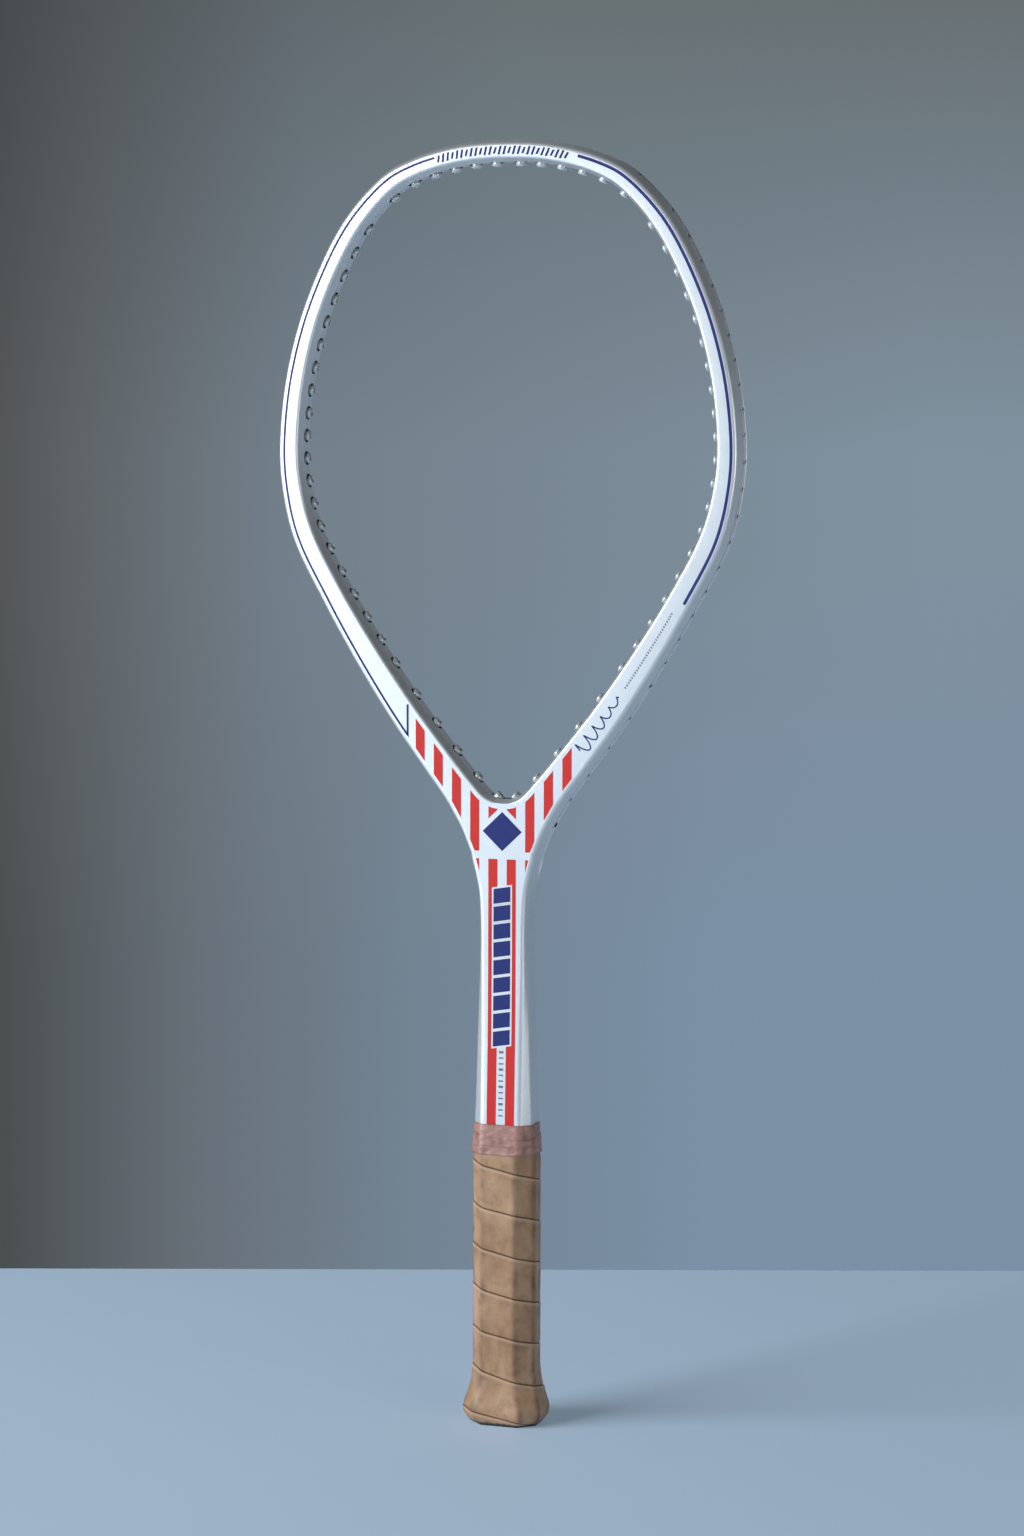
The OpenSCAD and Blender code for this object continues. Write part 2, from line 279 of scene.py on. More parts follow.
SHAFT = [shaft_station(z) for z in np.concatenate([[LEG_BOTTOM], np.arange(130, 312, 4)])]
HEAD = [head_station(i / HEAD_STEPS) for i in range(LAST * HEAD_STEPS + 1)]


def both_faces(pairs):
    """Ring from [point in the plane, half depth] pairs, front first and then back."""
    front = [[p[0], -y, p[1]] for p, y in pairs]
    back = [[p[0], y, p[1]] for p, y in pairs[::-1]]
    return front + back


CORNER_RADII = {"crest": 1.3, "inner": 1.1, "outer": 1.7, "side": 1.2, "lip": 0.5, "floor": 0.3}
INNER_EDGE_RUN = 4.0  # the face's inner edge rounds off over this width beside the middle
TIP_DEPTH = 100  # but not this near the web's top


def tube_ring(s):
    crest = s.inner - s.crest * s.inner_normal
    pairs = [(crest, CREST_HALF), (s.inner, s.depth), (s.outer, s.depth),
             (s.beyond(s.bevel), s.side), (s.beyond(s.rim), s.lip),
             (s.beyond(s.floor), s.lip - FLOOR_STEP)]
    edge = min(s.inner[0] / INNER_EDGE_RUN, 1.0) if s.inner[1] < WEB_TOP - TIP_DEPTH else 1.0
    radii = list(CORNER_RADII.values())
    radii[1] *= edge
    return rounded(both_faces(pairs), radii + radii[::-1])


def cavity_ring(s):
    """Hollow of the laminate tube, one wall inside it, apart from the web in the middle."""
    def clear(p):
        return p if p[1] > WEB_TOP else np.array([max(p[0], WALL / 2), p[1]])
    side = s.outer + (min(s.floor, s.bevel) - WALL) * s.outer_normal
    pairs = [(clear(s.inner - (s.crest - WALL) * s.inner_normal), CREST_HALF - 0.3),
             (clear(s.inner + WALL * s.inner_normal), s.depth - WALL),
             (s.outer - WALL * s.outer_normal, s.depth - WALL), (side, s.side - 1)]
    return both_faces(pairs)


# ------------------------------ grommet places

TOP_HOLES = [6.6 + 11.5 * i for i in range(6)]  # by x
SIDE_HOLES = [640.2 - 12.15 * i for i in range(20)]  # by z
THROAT_HOLES = [5.2 + 11.75 * i for i in range(5)]  # by x
LINES = [s.line() for s in HEAD]


def crossing(axis, value, low, high):
    """The line across the tube whose crest end has that x (axis 0) or z (axis 1)."""
    for a, b in zip(LINES, LINES[1:]):
        t = (value - a[0][axis]) / (b[0][axis] - a[0][axis])
        if 0 <= t < 1 and low < a[0][1] < high:
            return a + t * (b - a)
    raise ValueError(f"no place at {value}")


top_places = [crossing(0, x, 600, 700) for x in TOP_HOLES]
side_places = [crossing(1, z, 380, 660) for z in SIDE_HOLES]
throat_places = [crossing(0, x, 330, 405) for x in THROAT_HOLES]


def on_left(places):
    return [p * [-1, 1] for p in places]


right_places = top_places + side_places + throat_places
all_places = right_places + on_left(right_places)


# ------------------------------ materials

class Shader:
    """A Principled material with short calls for the nodes that give it grain."""

    def __init__(self, name, roughness=0.5, **sockets):
        self.material = bpy.data.materials.new(name)
        self.material.use_nodes = True
        self.tree = self.material.node_tree
        self.surface = self.tree.nodes["Principled BSDF"]
        self.surface.inputs["Roughness"].default_value = roughness
        for socket, value in sockets.items():
            self.surface.inputs[socket.replace("_", " ")].default_value = value
        self.place = self.node("ShaderNodeTexCoord").outputs["Object"]

    def node(self, kind, **settings):
        made = self.tree.nodes.new(kind)
        for key, value in settings.items():
            setattr(made, key, value)
        return made

    def plug(self, source, target):
        if isinstance(source, (int, float, tuple)):
            target.default_value = source
        else:
            self.tree.links.new(source, target)

    def noise(self, size, detail=3.0, stretch=(1, 1, 1)):
        """Noise from 0 to 1 whose features are about size millimetres."""
        scaled = self.node("ShaderNodeMapping")
        scaled.inputs["Scale"].default_value = stretch
        self.plug(self.place, scaled.inputs["Vector"])
        made = self.node("ShaderNodeTexNoise")
        made.inputs["Scale"].default_value = 1 / (size * MM)
        made.inputs["Detail"].default_value = detail
        self.plug(scaled.outputs["Vector"], made.inputs["Vector"])
        return made.outputs["Fac"]

    def cells(self, size):
        """Distance to the edge of irregular cells of about size millimetres."""
        made = self.node("ShaderNodeTexVoronoi", feature="DISTANCE_TO_EDGE")
        made.inputs["Scale"].default_value = 1 / (size * MM)
        self.plug(self.place, made.inputs["Vector"])
        return made.outputs["Distance"]

    def value(self, name):
        """A number that the mesh carries at each point."""
        return self.node("ShaderNodeAttribute", attribute_name=name).outputs["Fac"]

    def ramp(self, source, *stops):
        """Colour or grey ramp with stops of (place, value)."""
        made = self.node("ShaderNodeValToRGB")
        points = made.color_ramp.elements
        while len(points) < len(stops):
            points.new(0.5)
        for point, (place, value) in zip(points, stops):
            point.position = place
            point.color = (*value, 1) if isinstance(value, tuple) else (value, value, value, 1)
        self.plug(source, made.inputs["Fac"])
        return made.outputs["Color"]

    def mix(self, share, first, second, blend="MIX"):
        made = self.node("ShaderNodeMix", data_type="RGBA", blend_type=blend)
        for source, target in ((share, 0), (first, 6), (second, 7)):
            if isinstance(source, tuple):
                source = (*source, 1)
            self.plug(source, made.inputs[target])
        return made.outputs[2]

    def math(self, operation, *sources):
        made = self.node("ShaderNodeMath", operation=operation)
        for source, target in zip(sources, made.inputs):
            self.plug(source, target)
        return made.outputs[0]

    def colour(self, source):
        self.plug(source, self.surface.inputs["Base Color"])

    def rough(self, source, low, high):
        """Roughness that runs from low to high as source goes from 0 to 1."""
        spread = self.node("ShaderNodeMapRange")
        spread.inputs["To Min"].default_value = low
        spread.inputs["To Max"].default_value = high
        self.plug(source, spread.inputs["Value"])
        self.plug(spread.outputs["Result"], self.surface.inputs["Roughness"])

    def bumps(self, *layers):
        """Stacks bumps, each (height source, depth in millimetres)."""
        normal = None
        for source, depth in layers:
            made = self.node("ShaderNodeBump")
            made.inputs["Distance"].default_value = depth * MM
            self.plug(source, made.inputs["Height"])
            if normal is not None:
                self.plug(normal, made.inputs["Normal"])
            normal = made.outputs["Normal"]
        self.plug(normal, self.surface.inputs["Normal"])


def lacquer():
    """Silver-white metallic lacquer with fine flakes under a clear coat."""
    s = Shader("silver_lacquer", 0.3, Metallic=0.55, Coat_Weight=0.35, Coat_Roughness=0.12)
    flakes = s.ramp(s.noise(0.22, 2), (0.35, 0.0), (0.7, 1.0))
    patches = s.noise(14, 3)
    light = s.mix(patches, (0.80, 0.83, 0.86), (0.86, 0.89, 0.91))
    s.colour(s.mix(flakes, s.mix(patches, (0.62, 0.66, 0.70), (0.66, 0.69, 0.72)), light))
    s.rough(s.noise(0.5, 2), 0.26, 0.42)
    s.bumps((s.noise(0.3, 2), 0.012), (s.noise(4, 2), 0.03))
    return s.material


def ink(name, colour, worn, roughness=0.4):
    """Printed ink under the lacquer, thinner in small specks."""
    s = Shader(name, roughness, Coat_Weight=0.1, Coat_Roughness=0.2, Specular_IOR_Level=0.25)
    specks = s.ramp(s.noise(0.6, 4), (0.60, 0.0), (0.74, 1.0))
    body = s.mix(s.noise(9, 3), colour, tuple(c * 0.88 for c in colour))
    s.colour(s.mix(specks, body, worn))
    s.rough(s.noise(1.5, 2), roughness - 0.06, roughness + 0.08)
    s.bumps((s.noise(0.3, 2), 0.008))
    return s.material


def nylon():
    """Clear grey moulded nylon, a little cloudy inside."""
    s = Shader("grommet_nylon", 0.2, Metallic=0.25, Coat_Weight=0.8, Coat_Roughness=0.06)
    cloud = s.noise(2.5, 3)
    s.colour(s.mix(cloud, (0.46, 0.49, 0.51), (0.64, 0.68, 0.70)))
    s.rough(s.noise(1.0, 2), 0.12, 0.28)
    s.bumps((s.noise(1.2, 2), 0.02))
    return s.material


def leather():
    """Worn tan leather: pores, stains, darker patches along the corners, and painted shade in the
    seams.
    """
    s = Shader("tan_leather", 0.5, Coat_Weight=0.12, Coat_Roughness=0.28)
    patches = s.ramp(s.noise(24, 5, (1, 1, 0.7)), (0.35, 0.0), (0.65, 1.0))
    tan = s.mix(patches, (0.37, 0.200, 0.100), (0.53, 0.320, 0.180))
    stains = s.ramp(s.noise(7, 6), (0.48, 0.0), (0.72, 0.75))
    tan = s.mix(stains, tan, (0.27, 0.130, 0.066))
    rubbed = s.ramp(s.noise(11, 5, (1.2, 1.2, 0.5)), (0.52, 0.0), (0.78, 0.55))
    tan = s.mix(rubbed, tan, (0.66, 0.45, 0.29))
    pores = s.ramp(s.cells(0.9), (0.0, 1.0), (0.14, 0.0))
    tan = s.mix(s.math("MULTIPLY", pores, 0.25), tan, (0.17, 0.09, 0.05))
    # Darker in patches along the octagon's corners.
    darker_corners = s.math("MULTIPLY", s.value("corner"), s.ramp(s.noise(14, 3), (0.35, 0.15), (0.7, 0.9)))
    tan = s.mix(darker_corners, tan, (0.115, 0.058, 0.034))
    # Painted shade in the seams, and the dark line along the lower edge, both from the crease value.
    tan = s.mix(s.math("MULTIPLY", s.value("crease"), 0.95), tan, (0.060, 0.028, 0.015))
    tan = s.mix(s.math("MULTIPLY", s.value("burnish"), 0.55), tan, (0.62, 0.43, 0.28))
    s.colour(tan)
    s.rough(s.noise(6, 4), 0.34, 0.60)
    s.bumps((pores, -0.05), (s.noise(0.5, 3), 0.05), (s.noise(3, 4), 0.14))
    return s.material


def rubber():
    """Aged dusty pink rubber, darker along the tape's edge, with painted shade in the fold and at both
    ends.
    """
    s = Shader("pink_rubber", 0.42, Coat_Weight=0.15, Coat_Roughness=0.3)
    patches = s.noise(12, 4)
    pink = s.mix(patches, (0.34, 0.165, 0.130), (0.46, 0.245, 0.205))
    stains = s.ramp(s.noise(5, 5), (0.48, 0.0), (0.72, 0.8))
    pink = s.mix(stains, pink, (0.21, 0.095, 0.07))
    # The mesh's crease value darkens the skin: painted shade in the fold and at both ends, and the
    # tape's edge.
    pink = s.mix(s.math("MULTIPLY", s.value("crease"), 0.75), pink, (0.16, 0.06, 0.055))
    s.colour(pink)
    s.rough(s.noise(3, 3), 0.32, 0.55)
    s.bumps((s.noise(0.8, 3), 0.05), (s.noise(3.5, 3), 0.12))
    return s.material


def moulded(name, dark, light, roughness, grain=0.4, depth=0.03, **sockets):
    """Moulded plastic, foam or tape: two close colours, grain and uneven gloss."""
    s = Shader(name, roughness, **sockets)
    s.colour(s.mix(s.noise(grain * 6, 4), dark, light))
    s.rough(s.noise(grain * 3, 3), roughness - 0.08, roughness + 0.1)
    s.bumps((s.noise(grain, 3), depth))
    return s.material


LACQUER, NYLON, LEATHER, RUBBER = lacquer(), nylon(), leather(), rubber()
RED = ink("red_ink", (0.68, 0.026, 0.020), (0.52, 0.05, 0.04))
NAVY = ink("navy_ink", (0.012, 0.024, 0.17), (0.03, 0.05, 0.20))
WHITE = ink("white_ink", (0.80, 0.83, 0.86), (0.7, 0.74, 0.78))
GREY = ink("grey_ink", (0.16, 0.18, 0.23), (0.4, 0.43, 0.48))
BLACK = moulded("black_plastic", (0.012, 0.012, 0.014), (0.03, 0.03, 0.033), 0.45)
# Black raw carbon, inside the tube and on the drilled holes, where it is partly painted shade.
CARBON = moulded("raw_carbon", (0.010, 0.012, 0.014), (0.030, 0.033, 0.036), 0.5, 0.5)
FOAM = moulded("core_foam", (0.46, 0.40, 0.25), (0.62, 0.55, 0.38), 0.85, 0.8, 0.2)
PALLET = moulded("pallet_foam", (0.26, 0.18, 0.10), (0.36, 0.27, 0.16), 0.75, 0.6, 0.12)
ADHESIVE = moulded("adhesive_tape", (0.60, 0.55, 0.42), (0.72, 0.67, 0.54), 0.6, 1.0, 0.05)
TAPE = moulded("finishing_tape", (0.30, 0.21, 0.10), (0.42, 0.31, 0.17), 0.55, 0.8, 0.06)
STEEL = moulded("steel_wire", (0.50, 0.50, 0.52), (0.64, 0.64, 0.66), 0.32, 0.3, 0.01, Metallic=1.0)


# ------------------------------ frame

HOLE_R = 3.3  # drilled hole through the tube
MOUTH_R = 3.8  # its rounded mouth on the inner wall
MOUTH_ROUND = (0.3, 0.25)  # first step of the mouth, along the hole and across it
MOUTH_DEPTH = 0.8
REACH = 6.0  # how far a cutter runs past the tube
PAST_LEG = 2.0  # how far the hollow runs past the open ends of the legs


def drill(length):
    run, narrowing = MOUTH_ROUND
    return [(-REACH, MOUTH_R), (0, MOUTH_R), (run, MOUTH_R - narrowing), (MOUTH_DEPTH, HOLE_R),
            (length + REACH, HOLE_R)]


def racket_frame():
    """Hollow laminate tube with a drilled hole at each grommet."""
    tube = mirrored_loft("racket_frame", [tube_ring(s) for s in SHAFT + HEAD])
    hollow = [cavity_ring(s) for s in SHAFT + HEAD]
    opening = np.array(hollow[0]) * [1, 1, 0] + [0, 0, LEG_BOTTOM - PAST_LEG]
    cavity = mirrored_loft("cavity", [opening] + hollow)
    drills = lathes("drills", all_places, drill)
    # The drilled holes and their mouths take the black raw carbon: partly the bare laminate that
    # drilling leaves, and partly painted shade for the dark gap round each sleeve.
    for solid, material in ((tube, LACQUER), (cavity, CARBON), (drills, CARBON)):
        solid.data.materials.append(material)
    combined(tube, cavity, "DIFFERENCE")
    combined(tube, drills, "DIFFERENCE")
    placed(shaded(tube, None, 28), "frame_paint", "frame_shell")


racket_frame()

# ------------------------------ grommets

STRIP_T = 1.1
STRIP_GAP = 0.9  # from the strip's edge to the groove's lip
STRIP_EDGES = [0.1, 0.45, 0.45, 0.1]
PROUD_TIP = 2.2  # how far a sleeve stands out of the inner wall
NOSE = (1.3, 1.35)  # rounding of a sleeve's rim, along it and across it
BEAD_R = 2.95
BEAD_END = 0.5  # the bead has narrowed to the sleeve at this distance from the wall
SLEEVE_R = 2.7
ROOT = 0.7  # a sleeve ends this far into the strip, as a share of its thickness
BORE_R = 1.2
FLARE = (0.4, 0.35)  # widening of the bore at the tip and at the strip
FLARE_RUN = (0.5, 0.4)  # length of each flare


def sleeve(length):
    """Barrel with a rounded rim; its root ends inside the strip."""
    turn = np.linspace(math.pi, math.pi / 2, 5)
    rim = [(-PROUD_TIP + NOSE[0] * (1 + math.cos(a)), BEAD_R - NOSE[1] * (1 - math.sin(a)))
           for a in turn]
    return rim + [(-BEAD_END, SLEEVE_R), (length + ROOT * STRIP_T, SLEEVE_R)]


def string_bore(length):
    end = length + STRIP_T
    return [(-REACH, BORE_R + FLARE[0]), (-PROUD_TIP, BORE_R + FLARE[0]),
            (-PROUD_TIP + FLARE_RUN[0], BORE_R), (end - FLARE_RUN[1], BORE_R),
            (end, BORE_R + FLARE[1]), (length + REACH, BORE_R + FLARE[1])]


def strip_ring(s):
    half = s.lip - STRIP_GAP
    pairs = [(s.beyond(s.floor), half), (s.beyond(s.floor + STRIP_T), half)]
    return rounded(both_faces(pairs), STRIP_EDGES)


def grommet_strip(name, node, span, places, side):
    """Strip between two rows of the outline, with a sleeve and a bore at each place.

    Side is 1 on the right, -1 on the left, and 0 for a strip that runs over the tip.
    """
    first, last = (round(row * HEAD_STEPS) for row in span)
    rings = np.array([strip_ring(s) for s in HEAD[first:last + 1]])
    strip = loft(name, rings * [side, 1, 1]) if side else mirrored_loft(name, rings)
    places = {1: places, -1: on_left(places), 0: places + on_left(places)}[side]
    combined(strip, lathes("sleeves", places, sleeve), "UNION")
    combined(strip, lathes("bores", places, string_bore), "DIFFERENCE")
    placed(shaded(strip, NYLON, 40), "grommet_nylon", node)


# Rows of the outline between which the strips lie, as in the CAD part
TOP_SPAN = (38 / 3, LAST)
SIDE_SPAN = (14 / 3, 37 / 3)
THROAT_SPAN = (1 / 3, 13 / 3)
grommet_strip("top_grommets", "grommet_strip_top", TOP_SPAN, top_places, 0)
for kind, node, span, places in (("grommets", "grommet_strip", SIDE_SPAN, side_places),
                                 ("throat_grommets", "throat_strip", THROAT_SPAN, throat_places)):
    for word, side in (("right", 1), ("left", -1)):
        grommet_strip(f"{word}_{kind}", f"{node}_{word}", span, places, side)

# ------------------------------ printed decoration

INK_T = 0.06  # how far a printed shape stands off the lacquer
INK_ROOT = 0.25  # how far it is sunk into the wall


def slab(patch, turn, lift):
    """Points and faces of a thin closed solid over a patch of the face.

    A patch is rows of [x, z] points. Turn is 1 on the front face and -1 on the back one.
    """
    rows, size = np.shape(patch)[:2]
    x, z = np.reshape(patch, (-1, 2)).T
    depth = np.array([table(height, DEPTH) for height in z])
    points = [np.stack([x * turn, -y * turn, z], 1) for y in (depth + lift, depth - INK_ROOT)]
    index = np.arange(rows * size).reshape(rows, size)
    top = np.stack([index[:-1, :-1], index[:-1, 1:], index[1:, 1:], index[1:, :-1]], -1)
    top = top.reshape(-1, 4)
    rim = np.concatenate([index[0], index[1:, -1], index[-1, -2::-1], index[-2:0:-1, 0]])
    ahead = np.roll(rim, -1)
    under = rows * size
    sides = np.stack([ahead, rim, rim + under, ahead + under], -1)
    return np.concatenate(points), np.concatenate([top, top[:, ::-1] + under, sides])


def printed(name, patches, material, lift=INK_T):
    """One piece of ink on the front face and, turned half round, one on the back face."""
    for face, turn in (("front", 1), ("back", -1)):
        ink = new_mesh(f"{name}_{face}", *stacked(slab(patch, turn, lift) for patch in patches))
        placed(shaded(ink, material, 50, weighted=False), "frame_paint")


FINE = [head_station(u) for u in np.linspace(0, LAST, LAST * 24 + 1)]


def inside_outer(distance, side=1):
    """Curve on the face that runs that far inside its outer edge, from the throat to the tip."""
    return np.array([s.beyond(-distance) for s in FINE]) * [side, 1]


def inside_inner(distance):
    return np.array([s.inner + distance * s.inner_normal for s in FINE])


def middle_line():
    """Middle of the face's right half, from the throat to the tip."""
    return np.array([(s.inner + s.outer) / 2 for s in FINE])


def ribbon(path, width):
    """Patch of two rows, half a width to each side of a path."""
    path = np.asarray(path, float)
    along = np.gradient(path, axis=0)
    across = np.stack([along[:, 1], -along[:, 0]], 1)
    across /= np.linalg.norm(across, axis=1)[:, None]
    return np.stack([path - across * width / 2, path + across * width / 2])


def columns(xs, low, high):
    """Patch between two heights at each x, closed up where low would pass high."""
    return np.stack([np.stack([xs, np.minimum(low, high)], -1), np.stack([xs, high], -1)])


def upright(left, right, heights):
    """Patch between two edges that give an x at each height."""
    edges = [np.broadcast_to(x, heights.shape) for x in (left, right)]
    return np.stack([np.stack([x, heights], -1) for x in edges])


def bar(centre, along, across, length, width, lean):
    """Leaning bar round a point: length along one direction, width across it."""
    along, across = np.array(along), np.array(across)
    a, b = along * length / 2, across * width / 2
    shift = along * lean / 2
    return np.array([[centre - a - b - shift, centre + a - b - shift],
                     [centre - a + b + shift, centre + a + b + shift]])


# Red stripes run straight up the shaft and both arms of the throat.
STRIPE_FIRST = 2.58
STRIPE_W = 5.17
STRIPE_PITCH = 10.33
STRIPES_RIGHT = 4
STRIPES_LEFT = 5
BAND_LOW, BAND_HIGH = 306.7, 310.8  # plain band between shaft and throat
MARGIN_IN, MARGIN_OUT = 3.0, 2.3  # plain edge of the face beside the stripes
MARGIN_START = 280  # height where the outer margin's curve starts
CORNER_LOW = 296  # below this the second stripe is all off the shaft
UNDER_COLLAR = 4  # how far the shaft's stripes go on under the collar
COLLAR_TOP = in_mm("grip_collar")[1][2]

# Plain lozenge in the throat
EMBLEM_Z = 321.5
EMBLEM_HALF = (11.0, 10.5)
EMBLEM_CLEAR = 3.6  # height that the stripes above it keep off


def stripe_edges(k):
    return STRIPE_FIRST + k * STRIPE_PITCH + np.array([0, STRIPE_W])


def height_at(curve, xs):
    """Height of a curve of the throat at each x; it rises with x."""
    arm = curve[curve[:, 1] < 430]
    return np.interp(xs, arm[:, 0], arm[:, 1])


def outer_margin():
    """Curve inside the outer edge that starts well down the shaft."""
    heights = np.arange(MARGIN_START, FLAT_HALF[-1][0] + 1)
    shaft = np.array([[table(z, FLAT_HALF) - MARGIN_OUT, z] for z in heights])
    return np.concatenate([shaft, inside_outer(MARGIN_OUT)])


def throat_stripe(k, side):
    """Stripe of one arm, from the outer margin up to the inner one."""
    xs = np.linspace(*stripe_edges(k), 7)
    high = height_at(inside_inner(MARGIN_IN), xs)
    low = np.maximum(height_at(outer_margin(), xs), BAND_HIGH)
    if k == 0:
        half_w, half_h = EMBLEM_HALF
        low = EMBLEM_Z + half_h * (1 - xs / half_w) + EMBLEM_CLEAR
    return columns(xs, low, high) * [side, 1]


def shaft_stripe(side):
    heights = np.linspace(COLLAR_TOP - UNDER_COLLAR, BAND_LOW, 40)
    return upright(*stripe_edges(0), heights) * [side, 1]


def shaft_corner(side):
    """Small corner of the next stripe where the shaft widens."""
    edge = stripe_edges(1)[0]
    heights = np.linspace(CORNER_LOW, BAND_LOW, 12)
    ends = np.array([table(z, FLAT_HALF) - MARGIN_OUT for z in heights])
    return upright(edge, np.maximum(ends, edge), heights) * [side, 1]


def stripes():
    arms = [throat_stripe(k, 1) for k in range(STRIPES_RIGHT)]
    arms += [throat_stripe(k, -1) for k in range(STRIPES_LEFT)]
    shaft = [part(side) for part in (shaft_stripe, shaft_corner) for side in (1, -1)]
    printed("stripes", arms + shaft, RED)


def emblem():
    half_w, half_h = EMBLEM_HALF
    xs = np.linspace(-half_w, half_w, 9)
    reach = half_h * (1 - np.abs(xs) / half_w)
    printed("lozenge", [columns(xs, EMBLEM_Z - reach, EMBLEM_Z + reach)], NAVY)


# A thin navy line follows the outer edge of the face.
LINE_W = (1.15, 1.6)  # on the left arm, on the right arm
LINE_IN = 2.7
LEFT_LINE = (38.3, 370.4)  # distance from X = 0 at the top, height at the end
RIGHT_LINE = (40.3, 442.7)
LEFT_HOOK_TOP = 387.8  # the left line turns back straight up to here
HOOK_DROP = 0.6
UPPER_HEAD = 600  # above this a curve is cut off by x, below it by z


def edge_line(side, from_middle, end_z):
    path = inside_outer(LINE_IN, side)
    beside = (path[:, 0] * side > from_middle) | (path[:, 1] < UPPER_HEAD)
    return path[(path[:, 1] > end_z) & beside]


def pinstripe():
    left = edge_line(-1, *LEFT_LINE)
    right = edge_line(1, *RIGHT_LINE)
    foot, step = left[0], left[1] - left[0]
    hook_x = foot[0] + np.array([-0.5, 0.5]) * LINE_W[0]
    hook_z = foot[1] - HOOK_DROP + step[1] / step[0] * (hook_x - foot[0])
    hook = np.array([[[x, z], [x, LEFT_HOOK_TOP]] for x, z in zip(hook_x, hook_z)])
    printed("pinstripe", [ribbon(left, LINE_W[0]), ribbon(right, LINE_W[1]), hook], NAVY)


# Column of plain leaning blocks on the shaft, each with a white rim
BLOCKS = 9
BLOCK_TOP = 291.4
BLOCK_H, BLOCK_W = 8.0, 9.5
BLOCK_GAP = 1.6
BLOCK_RIM = 0.9
BLOCK_LEAN, RIM_LEAN = 1.6, 1.9
UP, RIGHT = (0.0, 1.0), (1.0, 0.0)


def block_column():
    heights = [BLOCK_TOP - BLOCK_H / 2 - i * (BLOCK_H + BLOCK_GAP) for i in range(BLOCKS)]
    centres = [np.array([0, z]) for z in heights]
    tall, wide = BLOCK_H + 2 * BLOCK_RIM, BLOCK_W + 2 * BLOCK_RIM
    rims = [bar(c, UP, RIGHT, tall, wide, RIM_LEAN) for c in centres]
    blocks = [bar(c, UP, RIGHT, BLOCK_H, BLOCK_W, BLOCK_LEAN) for c in centres]
    printed("block_ground", rims, WHITE, INK_T * 2)
    printed("blocks", blocks, NAVY, INK_T * 3)


# Small grey ticks below the blocks, every third one thicker
TICKS = 12
TICK_TOP = 203.0
TICK_PITCH = 3.1
TICK_W = 2.6
TICK_THIN, TICK_THICK = 0.8, 1.3


def ticks():
    made = []
    for i in range(TICKS):
        centre = np.array([0, TICK_TOP - TICK_PITCH * i])
        made.append(bar(centre, RIGHT, UP, TICK_W, TICK_THIN if i % 3 else TICK_THICK, 0))
    printed("ticks", made, GREY)


def lengths(path):
    """Distance along a path from its start to each of its points."""
    return np.concatenate([[0], np.cumsum(np.linalg.norm(np.diff(path, axis=0), axis=1))])


def along_path(path, distance, ahead=0.5):
    """Point of a path at a distance from its start, and the directions along and across it."""
    gone = lengths(path)
    here, there = (np.array([np.interp(d, gone, path[:, k]) for k in (0, 1)])
                   for d in (distance, distance + ahead))
    along = unit(there - here)
    return here, along, np.array([-along[1], along[0]])


# Row of small leaning bars over the top, every third one shorter
TOP_BARS = 28
TOP_BARS_HALF = 37.0  # from the middle to the row's end
TOP_BARS_START = 1.0
TOP_BAR_W = 1.25
TOP_BAR_TALL, TOP_BAR_SHORT = 4.4, 3.4
TOP_BAR_LEAN = 1.2
ARCH_HALF = 60  # the row's path reaches this far to each side


def top_bars():
    arch = middle_line()
    arch = arch[(arch[:, 0] < ARCH_HALF) & (arch[:, 1] > UPPER_HEAD)]
    path = np.concatenate([arch * [-1, 1], arch[-2::-1]])
    path = path[np.searchsorted(path[:, 0], -TOP_BARS_HALF) - 1:]
    bars = []
    for i in range(TOP_BARS):
        at = TOP_BARS_START + i * 2 * TOP_BARS_HALF / TOP_BARS
        tall = TOP_BAR_TALL if i % 3 else TOP_BAR_SHORT
        bars.append(bar(*along_path(path, at), TOP_BAR_W, tall, TOP_BAR_LEAN))
    printed("top_bars", bars, NAVY)


# Wave on the right arm that dies out upward, and a line of dots above it
WAVE_Z = (365.0, 397.0)
WAVE_TURNS = 5.5
WAVE_HEIGHT = 4.2
WAVE_FADE = 0.75  # share of its height that it loses on the way
WAVE_CURL = 0.9  # how far it swings along its own path
WAVE_W = 0.75
WAVE_END = 0.6
DOTS_Z = (399.0, 441.0)
DOT_PITCH = 1.6
DOT = (0.8, 1.1, 0.2)  # length, width and lean


def right_arm(low, high):
    path = middle_line()
    return path[(path[:, 1] > low) & (path[:, 1] < high)]


def wave():
    path = right_arm(*WAVE_Z)
    total = lengths(path)[-1] - WAVE_END
    points = []
    for t in np.linspace(0, 1, 160):
        point, along, across = along_path(path, t * total)
        angle = 2 * math.pi * WAVE_TURNS * t
        swing = WAVE_HEIGHT * (1 - WAVE_FADE * t) * math.sin(angle)
        points.append(point + across * swing + along * WAVE_CURL * math.cos(angle))
    printed("wave", [ribbon(points, WAVE_W)], NAVY)


def dots():
    path = right_arm(*DOTS_Z)
    count = int(lengths(path)[-1] / DOT_PITCH)
    printed("dots", [bar(*along_path(path, i * DOT_PITCH), *DOT) for i in range(count)], GREY)


for draw in (stripes, pinstripe, emblem, block_column, ticks, top_bars, wave, dots):
    draw()

# ------------------------------ grip

SECTION_POINTS = 160
EDGE_R = 2.4  # rounding of the handle's eight edges


